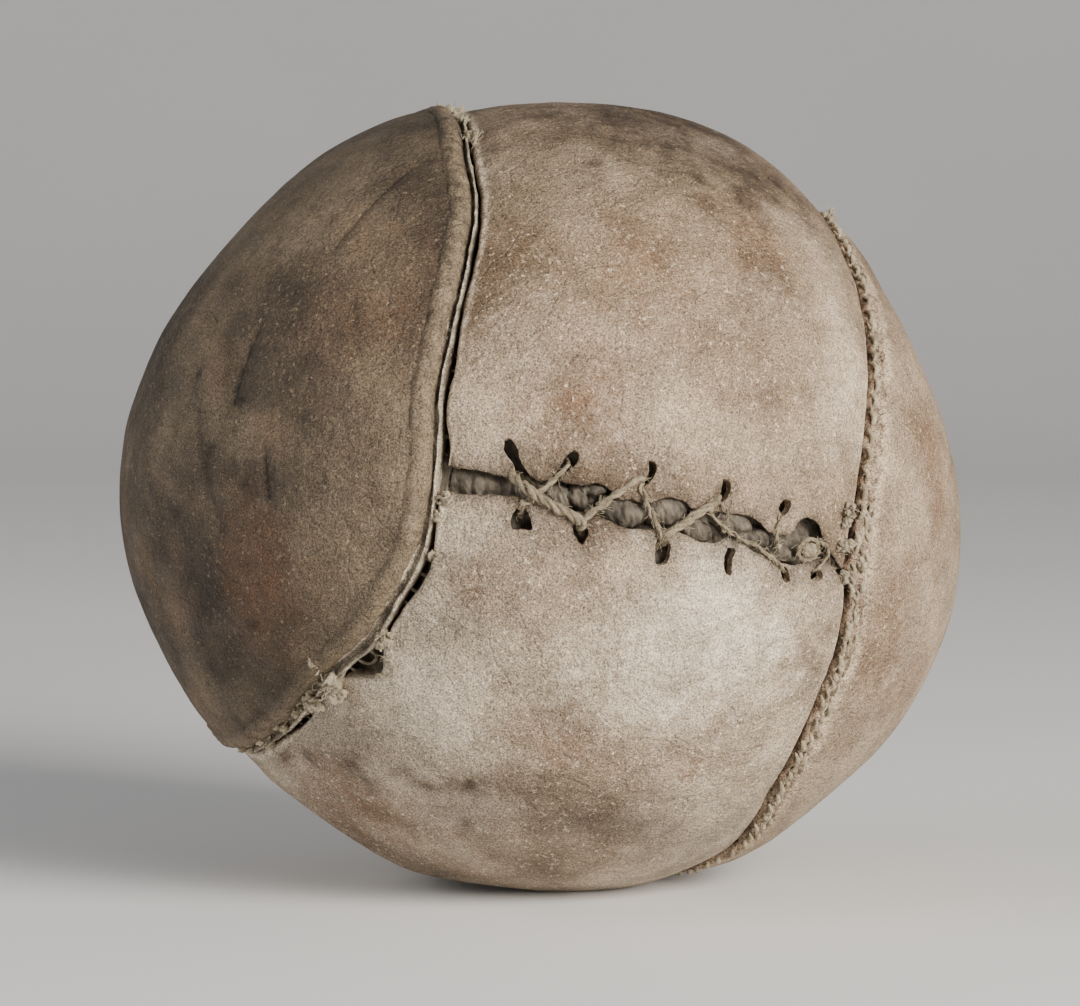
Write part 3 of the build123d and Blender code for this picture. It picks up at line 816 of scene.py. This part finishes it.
def edge_lean(seam, which, around, short):
    """The lean at which a line round the ball reaches a ring seam's fold, less some millimetres."""
    sign = 1 if which == "left" else -1
    limits = (-75, -5) if which == "left" else (5, 75)
    low, high = (np.full(around.shape, np.radians(float(limit))) for limit in limits)
    for _ in range(26):
        middle = (low + high) / 2
        place, off = seam.place(band_direction(around, middle))
        inside = off > band_edge(seam, which, place) + short
        take = inside if sign > 0 else ~inside
        high = np.where(take, middle, high)
        low = np.where(take, low, middle)
    return (low + high) / 2


def slit_around(which, lean, guess):
    """The angle round the ball of the slit's edge at each lean."""
    line = upper_line if which == "upper" else lower_line
    around = guess
    for _ in range(8):
        along, above = slit_place(band_direction(around, lean))
        around = around + (line(along) - above) / girth_radius
    return around


face_columns, face_rows = 236, 104  # of a band panel


def band_panel(name, start, end, material):
    """start and end are "upper" or "lower" for the slit's edges, or a (rear seam's angle, sign) pair."""
    across_share = np.linspace(0, 1, face_columns)
    shorts = [lip] + [short for short, _ in lip_rows()]
    depths = np.array([0.0] + [depth for _, depth in lip_rows()])

    def edge_angle(edge, short):
        if edge in ("upper", "lower"):
            around = np.zeros(face_columns)
            for _ in range(6):
                left = edge_lean(left_seam, "left", around, lip)
                right = edge_lean(right_seam, "right", around, lip)
                around = slit_around(edge, left + across_share * (right - left), around)
            return around
        angle, sign = edge
        wobble = 0.15 * noise(np.stack([across_share * 120, across_share, across_share], -1), 7, 83)
        return np.full(face_columns, np.radians(angle)) + sign * (fold_gap + short + wobble) / girth_radius

    shares = np.linspace(0, 1, face_rows)
    if start == "upper":
        shares = shares**1.35
    if end == "lower":
        shares = 1 - (1 - shares) ** 1.35
    low, high = edge_angle(start, lip), edge_angle(end, lip)
    around = list(low + shares[:, None] * (high - low))
    row_depths = [0.0] * face_rows
    if end != "lower":
        around += [edge_angle(end, short) for short in shorts[1:]]
        row_depths += list(depths[1:])
    if start != "upper":
        around = [edge_angle(start, short) for short in shorts[:0:-1]] + around
        row_depths = list(depths[:0:-1]) + row_depths
    around, row_depths = np.array(around), np.array(row_depths)
    left = edge_lean(left_seam, "left", around, lip)
    right = edge_lean(right_seam, "right", around, lip)
    face = band_direction(around, left + across_share * (right - left))
    ends = []
    for seam, which, column, order in ((left_seam, "left", 0, -1), (right_seam, "right", -1, 1)):
        rim = around[:, column]
        lips = [band_direction(rim, edge_lean(seam, which, rim, short)) for short in shorts[1:][::order]]
        ends.append(np.stack(lips, 1))
    d = np.concatenate([ends[0], face, ends[1]], 1)
    side = np.concatenate([depths[:0:-1], np.zeros(face_columns), depths[1:]])
    depth = np.maximum(side, row_depths[:, None])
    faces = grid_faces(*d.shape[:2])
    piece = build(name, on_leather(d, -depth), faces, material, name, "band_leather", **marks(d))
    thicken(piece, leather)
    return piece


upper_panel = band_panel("upper_body_panel", "upper", (120, -1), hides["upper_leather"])
band_panel("rear_body_panel", (120, 1), (240, -1), hides["rear_leather"])
lower_panel = band_panel("lower_body_panel", (-120, 1), "lower", hides["lower_leather"])


def punch(panel, outlines):
    """Cuts eyelets with ragged torn edges through a panel."""
    cutter = Bunch()
    for outline in outlines:
        ring = resample(np.array([(*place, 0.0) for place in outline + outline[:1]]), 0.25)[:-1, :2]
        ring = ring + 0.08 * np.stack([noise(np.c_[ring, ring[:, :1]], 0.7, seed) for seed in (3, 4)], -1)
        along, above = ring.T
        d = slit_direction(along, above)
        layers = [on_leather(d, np.full(len(ring), height)) for height in (4.0, 0.0, -6.0)]
        count = len(ring)
        cutter.add(layers, grid_faces(3, count, wrap=True))
        cutter.faces.append([cutter.count - 3 * count + k for k in range(count)][::-1])
        cutter.faces.append([cutter.count - count + k for k in range(count)])
    tool = mesh_object("cutter", np.vstack(cutter.points), cutter.faces)
    cut = panel.modifiers.new("eyelets", "BOOLEAN")
    cut.object, cut.operation, cut.solver = tool, "DIFFERENCE", "EXACT"
    bpy.context.view_layer.update()
    whole = bpy.data.meshes.new_from_object(panel.evaluated_get(bpy.context.evaluated_depsgraph_get()))
    panel.modifiers.clear()
    panel.data = whole
    bpy.data.objects.remove(tool)


punch(upper_panel, eyelets["upper"])
punch(lower_panel, eyelets["lower"])

# ---- Welts ---------------------------------------------------------------------------------------


def welt(name, seam, material, profile, rough, seed):
    """A strip on edge along a seam, from a profile of (share of its half-width, height) places."""
    around = np.linspace(-180, 180, 900, endpoint=False)
    rows = []
    spot = seam.direction(around, np.zeros_like(around)) * girth_radius
    lean = 0.25 * noise(spot, 9, seed)
    for number, (share, height) in enumerate(profile):
        off = share * strip_half(seam, around) * (1 + 0.2 * noise(spot, 4, seed + 1)) + lean
        off = off + rough * 0.5 * noise(spot + number * 3, 1.6, seed + 2)
        lift = height + (rough * noise(spot + number * 5, 1.8, seed + 3, 2) if height > -1 else 0)
        rows.append(on_leather(seam.direction(around, off), lift * np.ones(len(around))))
    rows.append(rows[0])
    faces = grid_faces(len(rows), len(around), wrap=True)
    if seam.axis[0] > 0:
        faces = faces[:, ::-1]
    soil_and_shade = 0.35 + 0.5 * noise(np.array(rows), 5, seed + 5, 2)
    # a painted highlight: the strip's higher parts are painted lighter and its grooves and sides left
    # darker, broken up by noise
    wear_and_highlight = np.array([[max(0, height + 0.1)] * len(around) for _, height in profile + profile[:1]])
    wear_and_highlight = 1.2 * wear_and_highlight + 0.45 * noise(np.array(rows), 2.2, seed + 6, 2)
    fields = {"soil_and_shade": soil_and_shade.clip(0, 1), "wear_and_highlight": wear_and_highlight.clip(0, 1)}
    build(name, rows, faces, material, name, "welt_leather", **fields)


def ridged(ridges):
    """A profile that goes down both sides to the strip's foot."""
    return ((-1, -edge_depth), (-1, -1.5), (-1, -0.6), *ridges, (1, -0.6), (1, -1.5), (1, -edge_depth))


welt(
    "left_welt",
    left_seam,
    hides["left_strip"],
    ridged(
        (
            (-0.97, 0.1), (-0.8, 0.7), (-0.55, 0.5), (-0.3, -0.1), (0.1, -0.2), (0.4, 0.1),
            (0.65, 0.75), (0.85, 0.8), (1, 0.2),
        )  # fmt: skip
    ),
    0.34,
    91,
)
welt(
    "right_welt",
    right_seam,
    hides["right_strip"],
    ridged(
        (
            (-0.97, 0.4), (-0.7, 1.3), (-0.4, 0.7), (-0.1, 1.3), (0.2, 0.6), (0.5, 1.1), (0.8, 0.6),
            (0.97, 0.2),
        )  # fmt: skip
    ),
    0.8,
    101,
)

# ---- Seam threads --------------------------------------------------------------------------------


def running_stitch(bunch, seam, count, back):
    """One thread in and out of both faces of a ring seam, all the way round."""
    around, off = [], []
    for hole in range(count):
        angle = -180 + 360 * hole / count
        side = back if hole % 2 else -back
        around += [angle, angle]
        off += [-side, side]
    around, off = np.array(around, float), np.array(off, float)
    path = on_leather(seam.direction(around, off), np.full(len(around), -stitch_depth))
    bunch.tube(resample(path, 1.0), thread_radius, 5)


def frayed_knot(bunch, seam, around, off, size, seed):
    """A clot of broken thread with fibres standing out of it."""
    middle = on_leather(seam.direction(np.array([around]), np.array([off])), np.array([0.2 * size]))[0]
    out = unit(middle - centre)
    for number in range(18):
        shift = local.normal(0, size * 0.22, 3) - out * 0.1 * size
        crumb = local.uniform(0.2, 0.6, 3) * size
        bunch.lump(middle + shift, crumb, local.uniform(-0.3, 0.6), 0.55, seed + number, 12)
    for _ in range(int(8 + size * 4)):
        heading = out * 0.6 + local.normal(0, 1, 3)
        start = middle + local.normal(0, size * 0.2, 3)
        length, width = local.uniform(0.3, 0.7) * size, local.uniform(0.05, 0.13)
        bunch.fibre(start, heading, length, width, local.uniform(0, 1))


left_thread, right_thread = Bunch(), Bunch()
running_stitch(left_thread, left_seam, left_stitches, left_back)
running_stitch(right_thread, right_seam, right_stitches, right_back)

# (angle round the seam, off it, size) of clots of broken thread
for number, (around, off, size) in enumerate(
    (
        (-44, -2.8, 3.0), (-46, 1.6, 5.2), (-52, 0.4, 4.0), (-57, 0.2, 2.4), (-64, -0.4, 2.4),
        (-71.6, 0.2, 2.8), (-80, -0.6, 2.8), (80, 0.0, 3.4), (92, 0, 3.4), (98, 0, 2.4),
        (70, 1.4, 2.2), (-7, 2.6, 2.4), (-10, 1.8, 1.8), (-32, 2.0, 3.0), (-16, 2.2, 1.2),
    )
):
    frayed_knot(left_thread, left_seam, around, off, size, 200 + number)


def slanted_stitch(bunch, seam, around, off, length, slant, thickness, seed):
    """A plump stitch over the strip's edge, leaning along the seam."""
    shares = np.linspace(0, 1, 14)
    angles = around + slant * (shares - 0.5)
    offs = off + length * (shares - 0.5)
    heights = 0.9 * np.sin(np.pi * shares) + 0.5
    path = on_leather(seam.direction(angles, offs), heights)
    lumpy = 1 + 0.25 * noise(path, 0.8, seed, 2)
    swell = thickness / 2 * np.sin(np.pi * shares).clip(0.05) ** 0.4 * lumpy
    bunch.tube(path, swell, 9, local.uniform(-0.2, 0.7))
    for _ in range(3):
        heading = path[-1] - path[0] + local.normal(0, 1.2, 3)
        bunch.fibre(path[int(local.integers(3, 11))], heading, local.uniform(0.5, 1.3))


for number, around in enumerate([*np.arange(11, 80, 3.1), *np.arange(100, 300, 3.4)]):
    shift, sway, stretch = local.normal(0, 1, 3)
    place = around + 0.3 * shift, 1.3 + 0.3 * sway
    slanted_stitch(right_thread, right_seam, *place, 0.9, 2.4 + 0.3 * stretch, 1.0, 300 + number)
# below the slit the strip and its stitches have worn to matted fibre
for number, around in enumerate(np.arange(-60, 9, 0.8)):
    lengthwise = local.uniform(1.6, 3.4)
    place = around, local.uniform(-1.4, 1.9), local.uniform(-0.6, 1.4)
    slanted_stitch(right_thread, right_seam, *place, lengthwise, local.uniform(0.5, 1.1), 440 + number)
for number, (around, off, size) in enumerate(
    (
        (7, 4.8, 3.2), (2, 4.2, 3.2), (-3, 2.4, 2.6), (-24, 0.3, 1.6), (-33, 0.3, 1.6),
        (84, 0, 2.2), (90, 0, 3.4), (96, 0.4, 2.4),
    )  # fmt: skip
):
    frayed_knot(right_thread, right_seam, around, off, size, 400 + 20 * number)

# ends of thread that have worked loose
for seam_bunch, seam, around, off, height in (
    (left_thread, left_seam, 66, 1.0, 2.5),
    (right_thread, right_seam, 77, -1.0, 6.0),
    (left_thread, left_seam, -39, 5.4, 0.8),
):
    angles = around + np.array([0, 1.2, 3.0, 4.2, 3.6])
    offs = off + np.array([0, 1.4, 1.8, 0.2, -1.2])
    heights = np.array([-1.0, 0.4, 1.0, 0.9, 0.5]) * height / 2
    seam_bunch.cord(on_leather(seam.direction(angles, offs), heights), 0.6, 2, 2.5, 0.04, 2.0, 500)


def rear_thread(seam):
    """The thread of a straight seam at the back: stitches down both turned-in edges."""
    places = []
    for hole, lean in enumerate(np.linspace(-rear_stitch_span, rear_stitch_span, rear_stitches)):
        side = rear_back if hole % 2 else -rear_back
        for off in (-side, side):
            places.append(turned(lean, seam.side, long_axis) + seam.normal * off / girth_radius)
    d = unit(np.array(places))
    bunch = Bunch()
    bunch.tube(resample(on_leather(d, np.full(len(d), -stitch_depth)), 0.8), thread_radius, 6)
    return bunch


def build_bunch(name, bunch, material, slot):
    points, tint = np.vstack(bunch.points), np.concatenate(bunch.tints)
    build(name, points, bunch.faces, material, name, slot, tint=tint)


build_bunch("left_seam_thread", left_thread, thread_fibre, "waxed_thread")
build_bunch("right_seam_thread", right_thread, thread_fibre, "waxed_thread")
build_bunch("top_seam_thread", rear_thread(top_seam), thread_fibre, "waxed_thread")
build_bunch("bottom_seam_thread", rear_thread(bottom_seam), thread_fibre, "waxed_thread")

# ---- Lacing --------------------------------------------------------------------------------------

lacing = Bunch()
# passes over the slit: thickness, plies, and (along, above, height) places
over_passes = (
    (2.1, 3, (
        (-31.5, 5.5, -2.4), (-30.0, 4.4, -0.4), (-27.6, 3.0, 1.2), (-25.2, 1.6, 1.5),
        (-21.8, 0.3, 1.2), (-18.6, -0.8, 0.9), (-16.9, -2.0, 0.2), (-16.8, -3.2, -2.2),
    )),
    (1.3, 2, (
        (-20.6, 8.6, -2.4), (-21.0, 7.6, 0.1), (-22.4, 5.7, 0.5), (-25.0, 2.5, 0.2),
        (-27.0, 0.5, 0.2), (-27.9, -0.8, 0.0), (-28.0, -2.2, -2.4),
    )),
    (1.8, 2, (
        (-16.6, -2.6, -1.8), (-16.6, -1.0, 0.7), (-14.2, 1.5, 0.9), (-11.5, 4.2, 0.8),
        (-8.9, 6.6, 0.6), (-7.0, 7.8, -0.4), (-6.2, 8.4, -2.6),
    )),
    (1.2, 2, (
        (-6.6, 7.4, -2.4), (-7.1, 5.6, 0.3), (-5.4, 2.6, 0.5), (-3.8, 0.1, 0.4), (-2.2, -2.3, 0.4),
        (-1.8, -3.8, -2.2),
    )),
    (2.0, 3, (
        (-1.2, -3.6, -2.2), (-1.2, -1.7, 0.7), (1.2, 0.6, 0.9), (3.8, 2.8, 0.9), (6.3, 4.8, 0.6),
        (7.9, 6.2, -0.6), (8.4, 7.0, -2.6),
    )),
    (0.9, 2, (
        (8.0, 6.4, -2.4), (6.9, 4.6, 0.4), (6.6, 3.0, 0.5), (9.5, 0.8, 0.7), (13.4, -0.7, 0.7),
        (17.3, -1.9, 0.6), (20.4, -3.3, 0.4), (23.2, -4.6, 0.2), (24.0, -5.6, -2.2),
    )),
    (0.6, 2, ((7.6, 5.3, -0.8), (8.6, 4.8, 0.8), (9.5, 3.8, 0.9), (9.7, 2.2, 0.3), (9.6, 1.0, -0.2))),
    (0.9, 2, ((21.3, 6.0, -2.2), (20.7, 4.2, 0.3), (20.5, 2.2, 0.2), (20.8, 0.2, 0.0), (21.2, -1.0, -0.8))),
    (0.8, 2, (
        (28.4, 1.0, -0.4), (30.4, 0.6, 0.8), (32.2, -0.6, 1.0), (32.6, -2.4, 0.8),
        (31.2, -4.2, 0.3), (30.8, -5.2, -2.0),
    )),
)  # fmt: skip
for number, (thickness, plies, places) in enumerate(over_passes):
    turn = 2.6 * thickness + 1.4
    lacing.cord(slit_points(places), 0.86 * thickness, plies, turn, 0.3, 2.6, 600 + 11 * number)

# passes behind the leather, from eyelet to eyelet
behind_passes = (
    ((-22, 2, -3.4), (-28, 4.6, -3.4), (-31.5, 5.5, -2.4)),
    ((-28.0, -2.2, -2.4), (-28.6, -2.0, -4.4), (-31, 0.2, -4.8), (-35, -2.5, -4.6)),
    ((-16.8, -3.2, -2.2), (-16, -4.5, -3.4), (-16.4, -3.6, -3.2), (-16.6, -2.6, -1.8)),
    ((-6.2, 8.4, -2.6), (-5.6, 8.8, -3.4), (-6.6, 7.4, -2.4)),
    ((-1.8, -3.8, -2.2), (-1.6, -4.8, -3.2), (-1.2, -3.6, -2.2)),
    ((8.4, 7.0, -2.6), (8.6, 7.6, -3.3), (8.0, 6.4, -2.4)),
    ((24.0, -5.6, -2.2), (24.4, -6.0, -3.4), (23.4, 0.5, -4.6), (21.3, 6.0, -2.2)),
    ((30.8, -5.2, -2.0), (31.2, -5.9, -3.4), (28.0, -7.4, -3.6), (18, -7.6, -3.6), (8, -6.8, -3.6)),
)
for number, places in enumerate(behind_passes):
    lacing.cord(slit_points(places), 1.3, 2, 3.2, 0.08, 0.2, 700 + 7 * number)

# the knot: a coil round a ball of hard-pulled cord
knot_at = np.array([27.6, -0.9])
turn = np.linspace(0, 2 * np.pi * 1.15, 26)
coil = np.c_[
    knot_at[0] + 2.05 * np.cos(turn), knot_at[1] + 1.95 * np.sin(turn), 0.5 + 0.35 * np.sin(turn * 1.3)
]
lacing.cord(slit_points(coil), 0.95, 2, 2.2, 0.1, 1.0, 801)
lacing.lump(slit_points([(*knot_at, 0.5)])[0], (2.7, 2.3, 2.5), 0.8, 0.28, 811, 20)
for _ in range(26):
    angle = local.uniform(0, 2 * np.pi)
    place = slit_points([(knot_at[0] + 1.6 * np.cos(angle), knot_at[1] + 1.6 * np.sin(angle), 1.0)])[0]
    lacing.fibre(place, unit(place - centre) * 0.5 + local.normal(0, 0.8, 3), local.uniform(0.8, 2.0))
# fluff where the cord rubs on the leather
for along, above, size in (
    (-27.8, 0.2, 1.0), (-16.6, -1.2, 1.2), (-1.6, -1.6, 1.1), (-29.5, 4.2, 1.0), (20.9, -1.0, 0.9),
    (9.4, 0.4, 0.7),
):  # fmt: skip
    place = slit_points([(along, above, 0.3)])[0]
    lacing.lump(place, local.uniform(0.7, 1.2, 3) * size, 0.7, 0.5, int(900 + along))
    for _ in range(10):
        lacing.fibre(place, unit(place - centre) * 0.4 + local.normal(0, 1, 3), local.uniform(0.6, 1.8))
build_bunch("lacing_cord", lacing, lacing_fibre, "lacing_cord")

# ---- Bladder -------------------------------------------------------------------------------------

# the whole bladder, finer towards the slit
fall = np.concatenate([np.linspace(0.2, 40, 60), np.linspace(42, 179.8, 60)])
turn = np.linspace(-180, 180, 240, endpoint=False)
fall, turn = np.radians(np.meshgrid(fall, turn, indexing="ij"))
d = front * np.cos(fall)[..., None]
d = d + (across * np.cos(turn)[..., None] + upright * np.sin(turn)[..., None]) * np.sin(fall)[..., None]
depth = 2.9 + 3.2 * np.exp(-((seam_distance(d) / 5.0) ** 2)) - 0.25 * noise(d * girth_radius, 4, 121, 2)
along, above = slit_place(d)
in_slit = (d @ front > 0) & (abs(along) < 46)
depth = depth + np.where(in_slit, 1.8 * bump(above - 1.5, 7), 0)
bladder_faces = grid_faces(*d.shape[:2], wrap=True)
build("bladder", on_leather(d, -depth), bladder_faces, bladder_skin, "bladder", "bladder_skin")

# the folded neck that swells into the slit: (along, above, width, height, how far its top stands proud)
folds = (
    (-21.8, 2.2, 4.2, 3.6, -0.9), (-17.8, 2.6, 2.8, 3.4, -0.5), (-15.3, 4.6, 3.2, 1.8, -0.3),
    (-12.6, 1.4, 2.6, 2.4, -2.0), (-9.2, 1.2, 6.4, 4.2, 0.1), (-4.2, 1.6, 2.2, 3.0, -2.4),
    (-1.0, 2.6, 6.0, 4.4, 0.2), (3.4, 1.2, 3.6, 1.8, -0.1), (5.1, -0.4, 4.6, 2.8, 0.1),
    (12.3, 2.1, 5.6, 3.2, 0.3), (16.3, -0.6, 5.0, 2.0, 0.0), (14.6, -1.6, 3.6, 1.4, -0.3),
    (18.8, 0.1, 2.2, 2.4, -0.2), (22.9, -2.4, 3.9, 3.4, 0.4), (29.8, 2.8, 3.4, 2.6, -3.0),
    (25.6, -3.2, 2.8, 1.6, -0.2),
)  # fmt: skip
along, above = np.meshgrid(np.arange(-46, 37, 0.25), np.arange(-8, 10, 0.25))
warp = np.stack([along, above, 0 * along], -1)
bent_along = along + 0.35 * noise(warp, 2.2, 131, 2)
bent_above = above + 0.35 * noise(warp, 2.2, 135, 2)
height = np.full(along.shape, -3.6) + 0.8 * noise(warp, 2.4, 137, 2)
for at, up, width, tall, proud in folds:
    lean = 0.35 * np.sin(at * 1.7)
    sideways = (bent_along - at) / (0.72 * width) + lean * (bent_above - up) / tall
    share = 1 - sideways**2 - ((bent_above - up) / (0.74 * tall)) ** 2
    swell = -3.4 + (proud + 2.9) * share.clip(0) ** 0.35 + 0.5 * sideways * share.clip(0)
    height = np.maximum(height, np.where(share > 0, swell, -9))
    height = height - 0.8 * bump(share, 0.1) * (share < 0.2)
# the smooth skin that shows in the slit's open mouth, creased across
mouth = 1 / (1 + np.exp((along + 31.5) / 0.8))
pleats = abs(np.sin(along * 1.25 + above * 0.2 + 0.6 * noise(warp, 3, 139)))
creased = -1.9 - 0.09 * np.clip(along + 40, 0, 20) + 0.55 * pleats * bump(along + 38, 4)
height = height * (1 - mouth) + (creased - 0.1 * (above - 2.4) ** 2) * mouth
wrinkle = noise(np.stack([bent_along * 1.8 + bent_above, bent_above * 0.5, 0 * along], -1), 0.9, 141, 2)
height = height + 0.3 * wrinkle * (1 - 0.7 * mouth)
edge = np.minimum(np.minimum(along + 46, 37 - along), np.minimum(above + 8, 10 - above))
height = np.where(edge < 4.2, np.minimum(height, -2.6), height)
build(
    "bladder_neck",
    on_leather(slit_direction(along, above), height),
    grid_faces(*along.shape),
    bladder_skin,
    "bladder",
    "bladder_skin",
)

tie = Bunch()
spin = np.linspace(0, 3 * 2 * np.pi, 90)
tie_path = slit_points(np.c_[-14 + 0.12 * spin, 2.0 + 1.7 * np.cos(spin), -3.6 + 1.5 * np.sin(spin)])
tie.cord(tie_path, 0.8, 2, 2.4, 0.05, 0.5, 821)
build_bunch("bladder_tie", tie, thread_fibre, "waxed_thread")

# ---- Floor and light -----------------------------------------------------------------------------

floor_shader = Shader("floor")
floor_shader.set(
    floor_shader.surface.inputs["Base Color"],
    floor_shader.ramp(floor_shader.noise(400, 2), (0.3, (0.80, 0.79, 0.77)), (0.7, (0.84, 0.83, 0.81))),
)
floor_shader.surface.inputs["Roughness"].default_value = 0.9
bend = 1.2  # metres: where the floor starts to curve up behind the ball, and the curve's radius
turn = np.radians(np.linspace(0, 90, 16))
curve = [(bend + bend * np.sin(a), bend - bend * np.cos(a)) for a in turn]
profile = [(-3.0, 0.0)] + curve + [(2 * bend, 4.0)]
heading = np.array([-towards_camera[0], -towards_camera[1], 0.0])
heading, sideways = unit(heading), unit(np.array([heading[1], -heading[0], 0.0]))
half_width = 5
sweep = np.array(
    [
        [heading * out + upright * up + sideways * side for side in (-half_width, half_width)]
        for out, up in profile
    ]
)
mesh_object("floor", sweep * 1000, grid_faces(len(profile), 2)[:, ::-1], floor_shader.material)


light_distance = 1.5  # metres


def softbox(name, towards, size, power, colour):
    """A square area light at a set distance from the ball, pointed at it."""
    light = bpy.data.objects.new(name, bpy.data.lights.new(name, "AREA"))
    bpy.context.scene.collection.objects.link(light)
    light.data.size, light.data.energy, light.data.color = size, power, colour
    heading = unit(np.array(towards, float))
    light.location = Vector(centre / 1000 + heading * light_distance)
    light.rotation_euler = Vector(-heading).to_track_quat("-Z", "Y").to_euler()


softbox("key_light", (0.55, -1.2, 0.45), 0.8, 46, (1.0, 0.965, 0.91))
softbox("fill_light", (-1.5, 0.1, 0.5), 1.2, 11, (0.94, 0.96, 1.0))
world = bpy.data.worlds.new("world")
bpy.context.scene.world = world
world.use_nodes = True
world.node_tree.nodes["Background"].inputs["Color"].default_value = (0.95, 0.96, 1.0, 1)
world.node_tree.nodes["Background"].inputs["Strength"].default_value = 0.2
